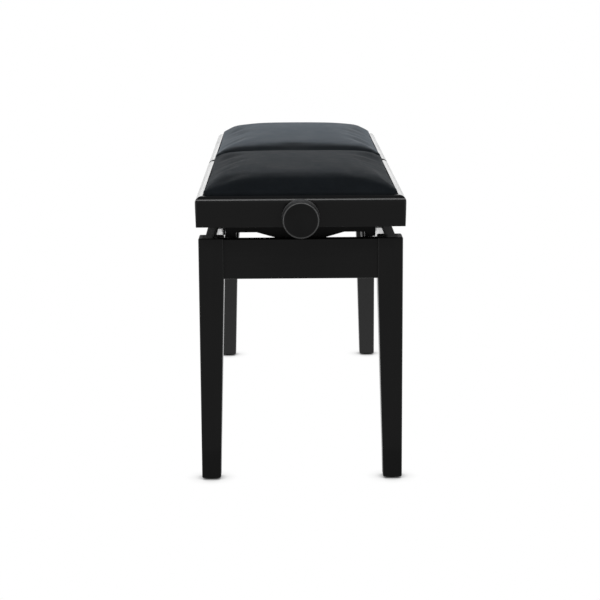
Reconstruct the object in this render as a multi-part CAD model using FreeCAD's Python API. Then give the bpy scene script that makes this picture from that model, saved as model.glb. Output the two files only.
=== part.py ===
"""Two-seat piano bench with a screw-driven scissor lift under each seat.

Millimetres. X runs along the bench, Y across it and Z up. The origin is on the floor, under the
middle of the bench. "right" is the +X end, "left" the -X end, "front" is -Y and "back" is +Y.
Both seats are drawn at their lowest.
"""

import FreeCAD, Part
import math
import os

V = FreeCAD.Vector

# ---------------------------------------------------------------- driving dimensions

# whole bench
SEAT_LENGTH = 495.0          # along X, over the wooden frame
SEAT_WIDTH = 334.0           # along Y, over the wooden frame
SEAT_GAP = 5.0               # between the two seat frames
BASE_INSET = 30.0            # from the end of a seat frame back to the legs
BASE_WIDTH = 328.0           # over the legs
BASE_TOP = 401.0             # top of the legs
FRAME_BOTTOM = 423.0         # underside of the seat frames at their lowest
FRAME_TOP = 472.5
CUSHION_TOP = 502.0
OVERSHOOT = 1.0              # how far a cutter reaches past the face that it opens

# legs
LEG_TOP_SIDE = 40.5
LEG_FOOT_SIDE = 31.0
LEG_EDGE_RADIUS = 3.0
LEG_FOOT_BREAK = 1.0         # the arris at the foot is drawn in by this much
LEG_TOP_BREAK = 1.2
LEG_BREAK_HEIGHT = 1.5
TAPER_TOP = 330.0            # the legs are square above this height
GLIDE_HEIGHT = 3.0

# aprons and centre rail
APRON_TOP = 398.6
APRON_BOTTOM = 333.8
APRON_THICKNESS = 18.0
APRON_EDGE_RADIUS = 1.5
LONG_APRON_SETBACK = 9.5     # behind the outer faces of the legs
END_APRON_SETBACK = 6.0
TENON_THICKNESS = 8.0
TENON_LENGTH = 14.0
TENON_BOTTOM = 364.0
TENON_TOP = 394.0
TENON_PLAY = 0.1
CENTRE_RAIL_BOTTOM = 345.0
CENTRE_RAIL_TOP = 398.0
CENTRE_TENON_LENGTH = 8.0

# corner blocks and the hanger bolts through them
BLOCK_BOTTOM = 338.0
BLOCK_TOP = 366.0
BLOCK_OUTER_REACH = 33.0     # along each apron, to the block's face beside the leg
BLOCK_INNER_REACH = 60.0     # along each apron, to the block's inner face
BOLT_RADIUS = 4.0
BOLT_INTO_LEG = 18.0
BOLT_PAST_BLOCK = 12.0
BOLT_BORE_LENGTH = 60.0      # longer than the corner block, washer and nut together
BOLT_PLAY = 0.05
WASHER_RADIUS = 8.0
WASHER_THICKNESS = 1.6
NUT_ACROSS_FLATS = 13.0
NUT_THICKNESS = 6.5

# glides
GLIDE_RADIUS = 9.0
GLIDE_FLAT_RADIUS = 7.0
NAIL_RADIUS = 1.5
NAIL_LENGTH = 16.0

# wooden seat frame and board
FRAME_THICKNESS = 20.0
REBATE_WIDTH = 8.0
REBATE_BOTTOM = 461.0
FRAME_TOP_RADIUS = 11.0
FRAME_BOTTOM_RADIUS = 1.2
FRAME_CORNER_RADIUS = 5.0
FRAME_SIDE_LEAN = 1.2        # the outer face leans in by this much at the bottom
BOARD_PLAY = 1.7             # each side, for the cover that wraps round the board's edge
BOARD_THICKNESS = 8.0

# cushion
CUSHION_PLAY = 0.2           # each side, between the cushion and the frame's rebate
CUSHION_BULGE = 0.6          # it stands out over the frame by this much more than in the rebate
CUSHION_BULGE_HEIGHT = 5.5   # height of its widest line above the frame
CUSHION_ROUNDING = 80.0      # width of its rounded shoulder
CUSHION_CORNER_RADIUS = 5.0
CUSHION_CORNER_GROWTH = 0.8  # how much the corners round off for each millimetre further in

# scissor lift: U is the distance from the outer end of the seat frame, inwards along X
ARM_LENGTH = 300.0           # between end pivots
LIFT_HEIGHT = 95.0           # how far a seat rises
PIVOT_U = 100.0              # fixed pivots, one above the other
LOWER_PIVOT_Z = 384.0
SPINDLE_Z = 439.0            # spindle, nut bar and upper pivots at the lowest position
ARM_WIDTH = 24.0
ARM_THICKNESS = 3.0
ARM_GAP = 0.5                # between neighbouring layers
RAIL_THICKNESS = 2.5
RAIL_INNER_Y = 108.5         # inner faces of the steel rails, upper and lower
PIVOT_RADIUS = 5.0
CENTRE_PIVOT_RADIUS = 4.0
RUNNING_PLAY = 0.05          # radial, in every hole that turns on a pin
SLOT_PLAY = 0.3              # each side of a pin that slides in a slot
HEAD_RADIUS = 8.0
HEAD_THICKNESS = 2.5
CENTRE_HEAD_RADIUS = 7.0
CLIP_THICKNESS = 2.0
PIN_END_PAST_RAIL = 3.0
SHAFT_RADIUS = 6.0

# lower steel rails and the brackets that hang them on the long aprons
LOWER_RAIL_BOTTOM = 370.0
LOWER_RAIL_TOP = 397.0
LOWER_RAIL_FLANGE = 9.0
LOWER_RAIL_START_U = 85.0
LOWER_RAIL_END_U = 426.0
BRACKET_STARTS_U = (115.0, 405.0)
BRACKET_LENGTH = 20.0
BRACKET_BOTTOM = 347.0
BRACKET_TOP = 386.0
BRACKET_INNER_LEG_BOTTOM = 373.0
BRACKET_SCREWS_Z = (355.0, 374.0)

# upper steel rails and bearing plate
UPPER_RAIL_BOTTOM = 412.0
UPPER_RAIL_END_U = 430.0
UPPER_LIP_BOTTOM = 440.0
BEARING_PLATE_U = 70.0
BEARING_PLATE_THICKNESS = 3.0
PLATE_EAR_OUTER_Y = 121.4
PLATE_EAR_INNER_Y = 104.4
PLATE_EAR_BOTTOM = 397.0
PLATE_EDGE_Z = 404.3         # flat lower edge between the ears and the slopes
PLATE_SLOPE_START_Y = 71.0
PLATE_TIP_HALF_WIDTH = 21.5
PLATE_TIP_Z = 390.1

# spindle, nut bar and knob
SPINDLE_RADIUS = 6.0
SPINDLE_PLAY = 0.08
SPINDLE_END_U = 425.0
COLLAR_RADIUS = 10.0
COLLAR_LENGTH = 7.0
COLLAR_PLAY = 0.3
CLIP_RADIUS = 9.0
FRAME_HOLE_RADIUS = 9.0
NUT_BAR_WIDTH = 16.0
NUT_BAR_HEIGHT = 18.0
NUT_BAR_EDGE_RADIUS = 1.5
NUT_BOSS_RADIUS = 12.0
NUT_BOSS_LENGTH = 26.0
KNOB_FRONT_RADIUS = 29.0
KNOB_BACK_RADIUS = 29.8
KNOB_FRONT_U = -37.0
KNOB_BACK_U = -3.0
KNOB_EDGE_RADIUS = 2.8
KNOB_HUB_RADIUS = 12.0
KNOB_HUB_GAP = 0.6           # between the hub and the seat frame
KNOB_WALL = 12.0             # between the spindle's end and the knob's face

# wood screws
SCREW_RADIUS = 2.0
SCREW_HEAD_RADIUS = 4.0
SCREW_HEAD_HEIGHT = 2.2
SCREW_LENGTH = 15.0
BOARD_SCREW_LENGTH = 10.0
SCREW_PLAY = 0.05
RAIL_SCREWS_U = (130.0, 250.0, 415.0)

# ---------------------------------------------------------------- worked-out dimensions

SEAT_OUTER_X = SEAT_GAP / 2 + SEAT_LENGTH
SEAT_INNER_X = SEAT_GAP / 2
SEAT_MIDDLE_X = (SEAT_OUTER_X + SEAT_INNER_X) / 2
SEAT_HALF_WIDTH = SEAT_WIDTH / 2
LEG_OUTER_X = SEAT_OUTER_X - BASE_INSET
LEG_OUTER_Y = BASE_WIDTH / 2
LEG_INNER_X = LEG_OUTER_X - LEG_TOP_SIDE
LEG_INNER_Y = LEG_OUTER_Y - LEG_TOP_SIDE
END_APRON_INNER_X = LEG_OUTER_X - END_APRON_SETBACK - APRON_THICKNESS
LONG_APRON_INNER_Y = LEG_OUTER_Y - LONG_APRON_SETBACK - APRON_THICKNESS
BOLT_Z = (BLOCK_BOTTOM + BLOCK_TOP) / 2
REBATE_INSET = FRAME_THICKNESS - REBATE_WIDTH
BOARD_HALF_WIDTH = SEAT_HALF_WIDTH - REBATE_INSET - BOARD_PLAY
BOARD_HALF_LENGTH = SEAT_LENGTH / 2 - REBATE_INSET - BOARD_PLAY
BOARD_TOP = REBATE_BOTTOM + BOARD_THICKNESS
CUSHION_HALF_WIDTH = SEAT_HALF_WIDTH - REBATE_INSET - CUSHION_PLAY
CUSHION_HALF_LENGTH = SEAT_LENGTH / 2 - REBATE_INSET - CUSHION_PLAY

SPAN_LOW = math.sqrt(ARM_LENGTH**2 - (SPINDLE_Z - LOWER_PIVOT_Z) ** 2)
SPAN_HIGH = math.sqrt(ARM_LENGTH**2 - (SPINDLE_Z - LOWER_PIVOT_Z + LIFT_HEIGHT) ** 2)
SLIDE_U = PIVOT_U + SPAN_LOW         # sliding pins at the lowest position
SLIDE_TOP_U = PIVOT_U + SPAN_HIGH    # sliding pins at the highest position
MIDDLE_U = PIVOT_U + SPAN_LOW / 2
MIDDLE_Z = (LOWER_PIVOT_Z + SPINDLE_Z) / 2

RAIL_OUTER_Y = RAIL_INNER_Y + RAIL_THICKNESS
STAY_ARM_Y = RAIL_INNER_Y - ARM_GAP - ARM_THICKNESS      # inner face of a stay arm
LIFT_ARM_Y = STAY_ARM_Y - ARM_GAP - ARM_THICKNESS        # inner face of a lift arm
PIN_END_Y = RAIL_OUTER_Y + PIN_END_PAST_RAIL

# ---------------------------------------------------------------- helpers


def x_at(u):
    """The X position in the right seat of a point u inwards from the seat's outer end."""
    return SEAT_OUTER_X - u


def block(x0, x1, y0, y1, z0, z1):
    """A box between two corners."""
    low = V(min(x0, x1), min(y0, y1), z0)
    return Part.makeBox(abs(x1 - x0), abs(y1 - y0), z1 - z0, low)


def rod_y(u, z, radius, y0, y1):
    """A round bar along Y at (u, z), from y0 to y1."""
    return Part.makeCylinder(radius, y1 - y0, V(x_at(u), y0, z), V(0, 1, 0))


def rod_x(y, z, radius, u0, u1):
    """A round bar along X at (y, z), from u0 to u1."""
    return Part.makeCylinder(radius, u1 - u0, V(x_at(u1), y, z), V(1, 0, 0))


def ring_y(u, z, radius, bore, y0, y1):
    """A washer on an axis along Y."""
    return rod_y(u, z, radius, y0, y1).cut(rod_y(u, z, bore, y0 - OVERSHOOT, y1 + OVERSHOOT))


def rounded_rectangle(x0, x1, y0, y1, radius, z):
    """A closed wire at height z with four rounded corners."""
    corners = ((x1, y1, 0), (x0, y1, 90), (x0, y0, 180), (x1, y0, 270))
    arcs = []
    for x, y, start in corners:
        cx = x - math.copysign(radius, x - (x0 + x1) / 2)
        cy = y - math.copysign(radius, y - (y0 + y1) / 2)
        circle = Part.Circle(V(cx, cy, z), V(0, 0, 1), radius)
        arcs.append(Part.Arc(circle, math.radians(start), math.radians(start + 90)).toShape())
    edges = []
    for arc, following in zip(arcs, arcs[1:] + arcs[:1]):
        edges.append(arc)
        edges.append(Part.makeLine(arc.Vertexes[-1].Point, following.Vertexes[0].Point))
    return Part.Wire(edges)


def prism(points, direction):
    """A closed polygon pushed along a vector."""
    wire = Part.makePolygon(list(points) + [points[0]])
    return Part.Face(wire).extrude(direction)


def mirrored_y(shape):
    return shape.mirror(V(0, 0, 0), V(0, 1, 0))


def mirrored_x(shape):
    return shape.mirror(V(0, 0, 0), V(1, 0, 0))


def front_and_back(back_shape):
    """The solid on the +Y side and its mirror image on the -Y side."""
    return [back_shape, mirrored_y(back_shape)]


def four_corners(shapes):
    """Copies of the solids of one corner at all four corners of the bench."""
    both_ends = shapes + [mirrored_x(s) for s in shapes]
    return both_ends + [mirrored_y(s) for s in both_ends]


def rounded_along(box, axis, radius):
    """A box whose long edges, the ones along axis, are rounded."""
    edges = [e for e in box.Edges if abs(e.tangentAt(e.FirstParameter).dot(axis)) > 0.99]
    return box.makeFillet(radius, edges)


# ---------------------------------------------------------------- base


def corner_point(reach_x, reach_y, z):
    """A point measured from the inner corner of the aprons, inwards along each apron."""
    return V(END_APRON_INNER_X - reach_x, LONG_APRON_INNER_Y - reach_y, z)


def tenon_for_long_apron(play):
    middle_y = LONG_APRON_INNER_Y + APRON_THICKNESS / 2
    half = TENON_THICKNESS / 2 + play
    return block(LEG_INNER_X - OVERSHOOT, LEG_INNER_X + TENON_LENGTH + play, middle_y - half,
                 middle_y + half, TENON_BOTTOM - play, TENON_TOP + play)


def tenon_for_end_apron(play):
    middle_x = END_APRON_INNER_X + APRON_THICKNESS / 2
    half = TENON_THICKNESS / 2 + play
    return block(middle_x - half, middle_x + half, LEG_INNER_Y - OVERSHOOT,
                 LEG_INNER_Y + TENON_LENGTH + play, TENON_BOTTOM - play, TENON_TOP + play)


def bolt_rod(radius, start, end):
    """A rod on the hanger bolt's axis. Distances run inwards from the leg's inner corner."""
    inwards = V(-1, -1, 0)
    inwards.normalize()
    corner = V(LEG_INNER_X, LEG_INNER_Y, BOLT_Z)
    return Part.makeCylinder(radius, end - start, corner + inwards * start, inwards)


def leg():
    """The back right leg. Only its two inner faces taper."""

    def section(side, z, inset=0.0):
        return rounded_rectangle(LEG_OUTER_X - side + inset, LEG_OUTER_X - inset,
                                 LEG_OUTER_Y - side + inset, LEG_OUTER_Y - inset,
                                 LEG_EDGE_RADIUS, z)

    sections = [
        section(LEG_FOOT_SIDE, GLIDE_HEIGHT, LEG_FOOT_BREAK),
        section(LEG_FOOT_SIDE, GLIDE_HEIGHT + LEG_BREAK_HEIGHT),
        section(LEG_TOP_SIDE, TAPER_TOP),
        section(LEG_TOP_SIDE, BASE_TOP - LEG_BREAK_HEIGHT),
        section(LEG_TOP_SIDE, BASE_TOP, LEG_TOP_BREAK),
    ]
    body = Part.makeLoft(sections, True, True)
    body = body.cut(tenon_for_long_apron(TENON_PLAY))
    body = body.cut(tenon_for_end_apron(TENON_PLAY))
    body = body.cut(bolt_rod(BOLT_RADIUS + BOLT_PLAY, -BOLT_INTO_LEG - BOLT_PLAY, BOLT_RADIUS + OVERSHOOT))
    foot_x = LEG_OUTER_X - LEG_FOOT_SIDE / 2
    foot_y = LEG_OUTER_Y - LEG_FOOT_SIDE / 2
    nail_hole = Part.makeCylinder(NAIL_RADIUS, NAIL_LENGTH, V(foot_x, foot_y, GLIDE_HEIGHT))
    return body.cut(nail_hole)


def glide():
    """A domed glide with its nail, under the back right leg."""
    centre = V(LEG_OUTER_X - LEG_FOOT_SIDE / 2, LEG_OUTER_Y - LEG_FOOT_SIDE / 2, 0)
    slope = GLIDE_RADIUS - GLIDE_FLAT_RADIUS
    dome = Part.makeCone(GLIDE_FLAT_RADIUS, GLIDE_RADIUS, slope, centre)
    rim = Part.makeCylinder(GLIDE_RADIUS, GLIDE_HEIGHT - slope, centre + V(0, 0, slope))
    nail = Part.makeCylinder(NAIL_RADIUS, NAIL_LENGTH, centre + V(0, 0, GLIDE_HEIGHT))
    return dome.fuse([rim, nail]).removeSplitter()


def long_apron():
    """The back apron, between the legs, with its tenons and the holes that it takes."""
    board = block(-LEG_INNER_X, LEG_INNER_X, LONG_APRON_INNER_Y, LONG_APRON_INNER_Y + APRON_THICKNESS,
                  APRON_BOTTOM, APRON_TOP)
    board = rounded_along(board, V(1, 0, 0), APRON_EDGE_RADIUS)
    tenon = tenon_for_long_apron(0.0)
    board = board.fuse([tenon, mirrored_x(tenon)]).removeSplitter()
    board = board.cut(centre_tenon(TENON_PLAY))
    for hole in bracket_screw_rods(SCREW_RADIUS + SCREW_PLAY):
        board = board.cut(hole)
        board = board.cut(mirrored_x(hole))
    return board


def end_apron():
    """The right apron, between the legs, with its tenons."""
    board = block(END_APRON_INNER_X, END_APRON_INNER_X + APRON_THICKNESS, -LEG_INNER_Y, LEG_INNER_Y,
                  APRON_BOTTOM, APRON_TOP)
    board = rounded_along(board, V(0, 1, 0), APRON_EDGE_RADIUS)
    tenon = tenon_for_end_apron(0.0)
    return board.fuse([tenon, mirrored_y(tenon)]).removeSplitter()


def centre_tenon(play):
    half = TENON_THICKNESS / 2 + play
    return block(-half, half, LONG_APRON_INNER_Y - OVERSHOOT,
                 LONG_APRON_INNER_Y + CENTRE_TENON_LENGTH + play, TENON_BOTTOM - play, TENON_TOP + play)


def centre_rail():
    """The cross rail between the long aprons, under the gap between the seats."""
    half = APRON_THICKNESS / 2
    rail = block(-half, half, -LONG_APRON_INNER_Y, LONG_APRON_INNER_Y, CENTRE_RAIL_BOTTOM, CENTRE_RAIL_TOP)
    rail = rounded_along(rail, V(0, 1, 0), APRON_EDGE_RADIUS)
    return rail.fuse(front_and_back(centre_tenon(0.0))).removeSplitter()


def corner_block():
    """The glued block across the back right corner of the aprons."""
    outline = [
        corner_point(0, BLOCK_OUTER_REACH, BLOCK_BOTTOM),
        corner_point(BLOCK_OUTER_REACH, 0, BLOCK_BOTTOM),
        corner_point(BLOCK_INNER_REACH, 0, BLOCK_BOTTOM),
        corner_point(0, BLOCK_INNER_REACH, BLOCK_BOTTOM),
    ]
    body = prism(outline, V(0, 0, BLOCK_TOP - BLOCK_BOTTOM))
    return body.cut(bolt_rod(BOLT_RADIUS + BOLT_PLAY, 0.0, BOLT_BORE_LENGTH))


def bolt_face_distance():
    """From the leg's inner corner to the corner block's inner face, along the bolt."""
    leg_reach = (END_APRON_INNER_X - LEG_INNER_X) + (LONG_APRON_INNER_Y - LEG_INNER_Y)
    return (BLOCK_INNER_REACH - leg_reach) / math.sqrt(2)


def hanger_bolt():
    """Bolt, washer and hexagon nut that hold the back right leg."""
    face = bolt_face_distance()
    bolt = bolt_rod(BOLT_RADIUS, -BOLT_INTO_LEG, face + BOLT_PAST_BLOCK)
    washer = bolt_rod(WASHER_RADIUS, face, face + WASHER_THICKNESS)
    inwards = V(-1, -1, 0)
    inwards.normalize()
    sideways = V(1, -1, 0)
    sideways.normalize()
    centre = V(LEG_INNER_X, LEG_INNER_Y, BOLT_Z) + inwards * (face + WASHER_THICKNESS)
    corner_radius = NUT_ACROSS_FLATS / math.sqrt(3)
    points = []
    for step in range(6):
        angle = math.radians(60 * step)
        points.append(centre + sideways * (corner_radius * math.cos(angle))
                      + V(0, 0, corner_radius * math.sin(angle)))
    nut = prism(points, inwards * NUT_THICKNESS)
    bore = bolt_rod(BOLT_RADIUS + BOLT_PLAY, 0.0, BOLT_BORE_LENGTH)
    return [bolt, washer.cut(bore), nut.cut(bore)]


def slot_y(z, y0, y1):
    """The slot that a sliding pin runs in, as a cutter between y0 and y1."""
    half = PIVOT_RADIUS + SLOT_PLAY
    middle = block(x_at(SLIDE_TOP_U), x_at(SLIDE_U), y0, y1, z - half, z + half)
    return middle.fuse([rod_y(SLIDE_TOP_U, z, half, y0, y1), rod_y(SLIDE_U, z, half, y0, y1)])


def lower_rail():
    """The back lower rail of the right lift: an angle with a pivot hole and a slot."""
    ends = (x_at(LOWER_RAIL_END_U), x_at(LOWER_RAIL_START_U))
    web = block(*ends, RAIL_INNER_Y, RAIL_OUTER_Y, LOWER_RAIL_BOTTOM, LOWER_RAIL_TOP)
    flange = block(*ends, RAIL_OUTER_Y, RAIL_OUTER_Y + LOWER_RAIL_FLANGE, LOWER_RAIL_BOTTOM,
                   LOWER_RAIL_BOTTOM + RAIL_THICKNESS)
    rail = web.fuse(flange).removeSplitter()
    through = (RAIL_INNER_Y - OVERSHOOT, RAIL_OUTER_Y + OVERSHOOT)
    rail = rail.cut(rod_y(PIVOT_U, LOWER_PIVOT_Z, PIVOT_RADIUS, *through))
    return rail.cut(slot_y(LOWER_PIVOT_Z, *through))


def bracket_screw_positions():
    for start in BRACKET_STARTS_U:
        for z in BRACKET_SCREWS_Z:
            yield start + BRACKET_LENGTH / 2, z


def bracket_screw_rods(radius):
    """Rods on the axes of the screws that go through the back brackets into the apron."""
    start = LONG_APRON_INNER_Y - RAIL_THICKNESS
    return [rod_y(u, z, radius, start, start + SCREW_LENGTH) for u, z in bracket_screw_positions()]


def bracket_screws():
    """The screws of the back brackets of the right lift."""
    head_end = LONG_APRON_INNER_Y - RAIL_THICKNESS
    screws = []
    for (u, z), shank in zip(bracket_screw_positions(), bracket_screw_rods(SCREW_RADIUS)):
        head = rod_y(u, z, SCREW_HEAD_RADIUS, head_end - SCREW_HEAD_HEIGHT, head_end)
        screws.append(shank.fuse(head).removeSplitter())
    return screws


def rail_brackets():
    """The two Z-shaped brackets between the back lower rail and the back apron."""
    brackets = []
    for start in BRACKET_STARTS_U:
        ends = (x_at(start + BRACKET_LENGTH), x_at(start))
        inner_leg = block(*ends, RAIL_OUTER_Y, RAIL_OUTER_Y + RAIL_THICKNESS,
                          BRACKET_INNER_LEG_BOTTOM, BRACKET_TOP)
        bridge = block(*ends, RAIL_OUTER_Y, LONG_APRON_INNER_Y, BRACKET_TOP - RAIL_THICKNESS, BRACKET_TOP)
        outer_leg = block(*ends, LONG_APRON_INNER_Y - RAIL_THICKNESS, LONG_APRON_INNER_Y,
                          BRACKET_BOTTOM, BRACKET_TOP)
        bracket = inner_leg.fuse([bridge, outer_leg]).removeSplitter()
        for hole in bracket_screw_rods(SCREW_RADIUS + SCREW_PLAY):
            bracket = bracket.cut(hole)
        brackets.append(bracket)
    return brackets


def lower_pivot_shaft():
    """The cross shaft that the lift arms pivot on, peened outside the lower rails."""
    shaft = rod_y(PIVOT_U, LOWER_PIVOT_Z, SHAFT_RADIUS, -LIFT_ARM_Y + ARM_GAP, LIFT_ARM_Y - ARM_GAP)
    journal = rod_y(PIVOT_U, LOWER_PIVOT_Z, PIVOT_RADIUS, -RAIL_OUTER_Y, RAIL_OUTER_Y)
    head = rod_y(PIVOT_U, LOWER_PIVOT_Z, HEAD_RADIUS, RAIL_OUTER_Y, RAIL_OUTER_Y + HEAD_THICKNESS)
    shaft = shaft.fuse([journal] + front_and_back(head)).removeSplitter()
    spacer_start = LIFT_ARM_Y + ARM_THICKNESS + ARM_GAP / 2
    spacer = ring_y(PIVOT_U, LOWER_PIVOT_Z, HEAD_RADIUS, PIVOT_RADIUS, spacer_start, RAIL_INNER_Y)
    return [shaft] + front_and_back(spacer)


# ---------------------------------------------------------------- scissor arms


def arm(start, end, y0, holes):
    """A flat bar with round ends between two (u, z) points. holes lists (u, z, radius)."""
    y1 = y0 + ARM_THICKNESS
    along = V(x_at(end[0]) - x_at(start[0]), 0, end[1] - start[1])
    across = V(-along.z, 0, along.x)
    across.normalize()
    across = across * (ARM_WIDTH / 2)
    a = V(x_at(start[0]), y0, start[1])
    b = V(x_at(end[0]), y0, end[1])
    bar = prism([a + across, b + across, b - across, a - across], V(0, ARM_THICKNESS, 0))
    bar = bar.fuse([rod_y(*start, ARM_WIDTH / 2, y0, y1), rod_y(*end, ARM_WIDTH / 2, y0, y1)])
    bar = bar.removeSplitter()
    for u, z, radius in holes:
        bar = bar.cut(rod_y(u, z, radius, y0 - OVERSHOOT, y1 + OVERSHOOT))
    return bar


def lift_arm():
    """The back arm that pivots on the base at its foot and carries the nut bar at its head."""
    foot = (PIVOT_U, LOWER_PIVOT_Z)
    head = (SLIDE_U, SPINDLE_Z)
    holes = [(*foot, PIVOT_RADIUS + RUNNING_PLAY), (MIDDLE_U, MIDDLE_Z, CENTRE_PIVOT_RADIUS),
             (*head, PIVOT_RADIUS + RUNNING_PLAY)]
    return arm(foot, head, LIFT_ARM_Y, holes)


def stay_arm():
    """The back arm that pivots on the seat at its head and slides on the base at its foot."""
    head = (PIVOT_U, SPINDLE_Z)
    foot = (SLIDE_U, LOWER_PIVOT_Z)
    holes = [(*head, PIVOT_RADIUS + RUNNING_PLAY),
             (MIDDLE_U, MIDDLE_Z, CENTRE_PIVOT_RADIUS + RUNNING_PLAY),
             (*foot, PIVOT_RADIUS)]
    return arm(head, foot, STAY_ARM_Y, holes)


def centre_rivet():
    """The rivet at the middle of the back pair of arms, fixed in the lift arm."""
    shank = rod_y(MIDDLE_U, MIDDLE_Z, CENTRE_PIVOT_RADIUS, LIFT_ARM_Y, RAIL_INNER_Y - ARM_GAP / 2)
    head = rod_y(MIDDLE_U, MIDDLE_Z, CENTRE_HEAD_RADIUS, LIFT_ARM_Y - HEAD_THICKNESS, LIFT_ARM_Y)
    return shank.fuse(head).removeSplitter()


def pin_clips(u, z):
    """The clips on the ends of a sliding pin, outside the rails."""
    start = RAIL_OUTER_Y + ARM_GAP
    return front_and_back(ring_y(u, z, HEAD_RADIUS, PIVOT_RADIUS, start, start + CLIP_THICKNESS))


def slide_shaft():
    """The cross shaft at the foot of the stay arms. Its ends slide in the lower rails."""
    thick = rod_y(SLIDE_U, LOWER_PIVOT_Z, SHAFT_RADIUS, -STAY_ARM_Y, STAY_ARM_Y)
    thin = rod_y(SLIDE_U, LOWER_PIVOT_Z, PIVOT_RADIUS, -PIN_END_Y, PIN_END_Y)
    return [thick.fuse(thin).removeSplitter()] + pin_clips(SLIDE_U, LOWER_PIVOT_Z)


def nut_bar():
    """The cross bar with the threaded boss. Its end pins slide in the upper rails."""
    half_length = LIFT_ARM_Y - ARM_GAP
    bar = block(x_at(SLIDE_U + NUT_BAR_WIDTH / 2), x_at(SLIDE_U - NUT_BAR_WIDTH / 2),
                -half_length, half_length, SPINDLE_Z - NUT_BAR_HEIGHT / 2, SPINDLE_Z + NUT_BAR_HEIGHT / 2)
    bar = rounded_along(bar, V(0, 1, 0), NUT_BAR_EDGE_RADIUS)
    boss_start = SLIDE_U - NUT_BOSS_LENGTH / 2
    boss_end = SLIDE_U + NUT_BOSS_LENGTH / 2
    boss = rod_x(0, SPINDLE_Z, NUT_BOSS_RADIUS, boss_start, boss_end)
    pins = rod_y(SLIDE_U, SPINDLE_Z, PIVOT_RADIUS, -PIN_END_Y, PIN_END_Y)
    bar = bar.fuse([boss, pins]).removeSplitter()
    bar = bar.cut(rod_x(0, SPINDLE_Z, SPINDLE_RADIUS + SPINDLE_PLAY, boss_start - OVERSHOOT,
                        boss_end + OVERSHOOT))
    return [bar] + pin_clips(SLIDE_U, SPINDLE_Z)


# ---------------------------------------------------------------- spindle and knob


def spindle():
    """The threaded spindle, drawn plain at its outer diameter, with its collar and clip."""
    rod = rod_x(0, SPINDLE_Z, SPINDLE_RADIUS, KNOB_FRONT_U + KNOB_WALL, SPINDLE_END_U)
    collar_end = BEARING_PLATE_U - COLLAR_PLAY
    collar = rod_x(0, SPINDLE_Z, COLLAR_RADIUS, collar_end - COLLAR_LENGTH, collar_end)
    clip_start = BEARING_PLATE_U + BEARING_PLATE_THICKNESS + COLLAR_PLAY
    clip_end = clip_start + CLIP_THICKNESS
    clip = rod_x(0, SPINDLE_Z, CLIP_RADIUS, clip_start, clip_end)
    clip = clip.cut(rod_x(0, SPINDLE_Z, SPINDLE_RADIUS, clip_start - OVERSHOOT, clip_end + OVERSHOOT))
    return [rod.fuse(collar).removeSplitter(), clip]


def knob():
    """The hand knob: a short cone, wider at the back, with a hub towards the seat frame."""
    edge = KNOB_EDGE_RADIUS
    front = x_at(KNOB_FRONT_U)
    back = x_at(KNOB_BACK_U)
    hub_end = x_at(-KNOB_HUB_GAP)
    slope = math.atan2(KNOB_BACK_RADIUS - KNOB_FRONT_RADIUS, front - back)

    def at(x, radius):
        return V(x, 0, SPINDLE_Z + radius)

    # the front edge is an arc from the flat face round to the conical side
    arc_centre = (front - edge, KNOB_FRONT_RADIUS - edge)
    half_way = (math.pi / 2 + slope) / 2
    arc_middle = at(arc_centre[0] + edge * math.cos(half_way), arc_centre[1] + edge * math.sin(half_way))
    arc_start = at(front, arc_centre[1])
    arc_end = at(arc_centre[0] + edge * math.sin(slope), arc_centre[1] + edge * math.cos(slope))
    back_edge = at(back + edge, KNOB_BACK_RADIUS)
    back_corner = at(back, KNOB_BACK_RADIUS - edge)
    back_middle = at(back + edge * (1 - math.sqrt(0.5)), KNOB_BACK_RADIUS - edge * (1 - math.sqrt(0.5)))
    bore_x = x_at(KNOB_FRONT_U + KNOB_WALL)
    edges = [
        Part.makeLine(at(front, 0), arc_start),
        Part.Arc(arc_start, arc_middle, arc_end).toShape(),
        Part.makeLine(arc_end, back_edge),
        Part.Arc(back_edge, back_middle, back_corner).toShape(),
        Part.makeLine(back_corner, at(back, KNOB_HUB_RADIUS)),
        Part.makeLine(at(back, KNOB_HUB_RADIUS), at(hub_end, KNOB_HUB_RADIUS)),
        Part.makeLine(at(hub_end, KNOB_HUB_RADIUS), at(hub_end, SPINDLE_RADIUS)),
        Part.makeLine(at(hub_end, SPINDLE_RADIUS), at(bore_x, SPINDLE_RADIUS)),
        Part.makeLine(at(bore_x, SPINDLE_RADIUS), at(bore_x, 0)),
        Part.makeLine(at(bore_x, 0), at(front, 0)),
    ]
    face = Part.Face(Part.Wire(edges))
    return face.revolve(V(0, 0, SPINDLE_Z), V(1, 0, 0), 360)


# ---------------------------------------------------------------- seat


def frame_section():
    """The frame's cross-section as (distance in from the outer face, height) corners and arcs."""
    r = FRAME_TOP_RADIUS
    b = FRAME_BOTTOM_RADIUS
    lean = FRAME_SIDE_LEAN
    bend = math.sqrt(0.5)
    return {
        "start": (lean, FRAME_BOTTOM + b),
        "top": [(0, FRAME_TOP - r), (r * (1 - bend), FRAME_TOP - r * (1 - bend)), (r, FRAME_TOP)],
        "inside": [(REBATE_INSET, FRAME_TOP), (REBATE_INSET, REBATE_BOTTOM), (FRAME_THICKNESS, REBATE_BOTTOM),
                   (FRAME_THICKNESS, FRAME_BOTTOM), (lean + b, FRAME_BOTTOM)],
        "foot": [(lean + b * (1 - bend), FRAME_BOTTOM + b * (1 - bend))],
    }


def frame_bar(place, direction):
    """The frame's cross-section pushed along a rail. place turns (inset, height) into a point."""
    s = frame_section()
    top = [place(*p) for p in s["top"]]
    inside = [place(*p) for p in s["inside"]]
    start = place(*s["start"])
    edges = [Part.makeLine(start, top[0]), Part.Arc(*top).toShape()]
    for a, b in zip([top[-1]] + inside, inside):
        edges.append(Part.makeLine(a, b))
    edges.append(Part.Arc(inside[-1], place(*s["foot"][0]), start).toShape())
    return Part.Face(Part.Wire(edges)).extrude(direction)


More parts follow.
